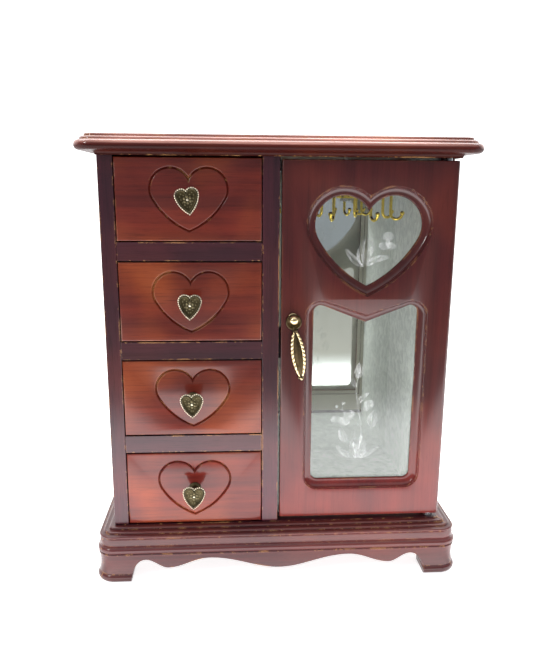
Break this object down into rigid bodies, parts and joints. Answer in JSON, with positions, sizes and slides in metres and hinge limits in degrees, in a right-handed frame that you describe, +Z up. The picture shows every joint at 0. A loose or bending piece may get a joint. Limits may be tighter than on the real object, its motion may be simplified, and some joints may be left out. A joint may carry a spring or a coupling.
{
  "type": "jewellery chest with drawers",
  "caption": "Upright jewellery chest with heart-grooved drawers beside a glazed, mirrored necklace compartment, on a moulded base with scalloped aprons.",
  "frame": {"origin": "on the floor, under the middle of the chest's overall width and depth", "axes": "+Z up, -Y towards the front with the drawers and door, +X to the viewer's right"},
  "size_m": [0.301, 0.173, 0.3526],
  "materials": {
    "case_wood": "dark plum mahogany stain under gloss lacquer",
    "moulded_wood": "red-brown mahogany stain under gloss lacquer",
    "drawer_wood": "warm red-brown mahogany stain under gloss lacquer",
    "door_wood": "dark maroon mahogany stain under gloss lacquer",
    "plain_wood": "unfinished thin plywood and softwood",
    "felt": "pale grey velvet felt",
    "mirror_glass": "silvered glass",
    "clear_glass": "clear glass with frosted etching",
    "gold_metal": "bright gold plating",
    "bright_brass": "polished brass",
    "old_brass": "antiqued brass, dark in the hollows",
    "steel": "plain zinc-plated steel",
    "catch_case": "brown plastic catch"
  },
  "bodies": {
    "case": {"side_panel_left": "case_wood", "side_panel_right": "case_wood", "partition": "case_wood", "back_panel": "plain_wood", "bottom_board": "case_wood", "top_board": "moulded_wood", "plinth_front": "moulded_wood", "plinth_left": "moulded_wood", "plinth_right": "moulded_wood", "plinth_back": "moulded_wood", "drawer_rail_1": "case_wood", "drawer_rail_2": "case_wood", "drawer_rail_3": "case_wood", "dust_panel_1": "plain_wood", "dust_panel_2": "plain_wood", "dust_panel_3": "plain_wood", "mirror": "mirror_glass", "compartment_lining": "felt", "carousel_spindle": "steel", "catch_magnet": "catch_case", "door_pivots": "steel"},
    "carousel": {"carousel": "gold_metal"},
    "door": {"door_panel": "door_wood", "door_glass": "clear_glass", "glazing_beads": "door_wood", "strike_plate": "steel", "pull_pin": "bright_brass"},
    "door_pull": {"door_pull": "old_brass"},
    "drawer_1": {"drawer_1_front": "drawer_wood", "drawer_1_side_left": "plain_wood", "drawer_1_side_right": "plain_wood", "drawer_1_back": "plain_wood", "drawer_1_bottom": "plain_wood", "drawer_1_lining": "felt", "drawer_1_knob": "old_brass", "drawer_1_knob_screw": "steel"},
    "drawer_2": {"drawer_2_front": "drawer_wood", "drawer_2_side_left": "plain_wood", "drawer_2_side_right": "plain_wood", "drawer_2_back": "plain_wood", "drawer_2_bottom": "plain_wood", "drawer_2_lining": "felt", "drawer_2_knob": "old_brass", "drawer_2_knob_screw": "steel"},
    "drawer_3": {"drawer_3_front": "drawer_wood", "drawer_3_side_left": "plain_wood", "drawer_3_side_right": "plain_wood", "drawer_3_back": "plain_wood", "drawer_3_bottom": "plain_wood", "drawer_3_lining": "felt", "drawer_3_knob": "old_brass", "drawer_3_knob_screw": "steel"},
    "drawer_4": {"drawer_4_front": "drawer_wood", "drawer_4_side_left": "plain_wood", "drawer_4_side_right": "plain_wood", "drawer_4_back": "plain_wood", "drawer_4_bottom": "plain_wood", "drawer_4_lining": "felt", "drawer_4_knob": "old_brass", "drawer_4_knob_screw": "steel"}
  },
  "joints": [
    {"name": "drawer_1_slide", "type": "slide", "parent": "case", "child": "drawer_1", "axis": [0, -1, 0], "range_m": [0, 0.105]},
    {"name": "drawer_2_slide", "type": "slide", "parent": "case", "child": "drawer_2", "axis": [0, -1, 0], "range_m": [0, 0.105]},
    {"name": "drawer_3_slide", "type": "slide", "parent": "case", "child": "drawer_3", "axis": [0, -1, 0], "range_m": [0, 0.105]},
    {"name": "drawer_4_slide", "type": "slide", "parent": "case", "child": "drawer_4", "axis": [0, -1, 0], "range_m": [0, 0.105]},
    {"name": "door_swing", "type": "hinge", "parent": "case", "child": "door", "pos_m": [0.128, -0.0615, 0.19], "axis": [0, 0, 1], "range_deg": [0, 110]},
    {"name": "pull_swing", "type": "hinge", "parent": "door", "child": "door_pull", "pos_m": [0.0097, -0.0713, 0.21651], "axis": [0, 1, 0], "range_deg": [-70, 25]},
    {"name": "carousel_spin", "type": "hinge", "parent": "case", "child": "carousel", "pos_m": [0.06115, 0.0125, 0.313], "axis": [0, 0, 1], "continuous": true}
  ]
}
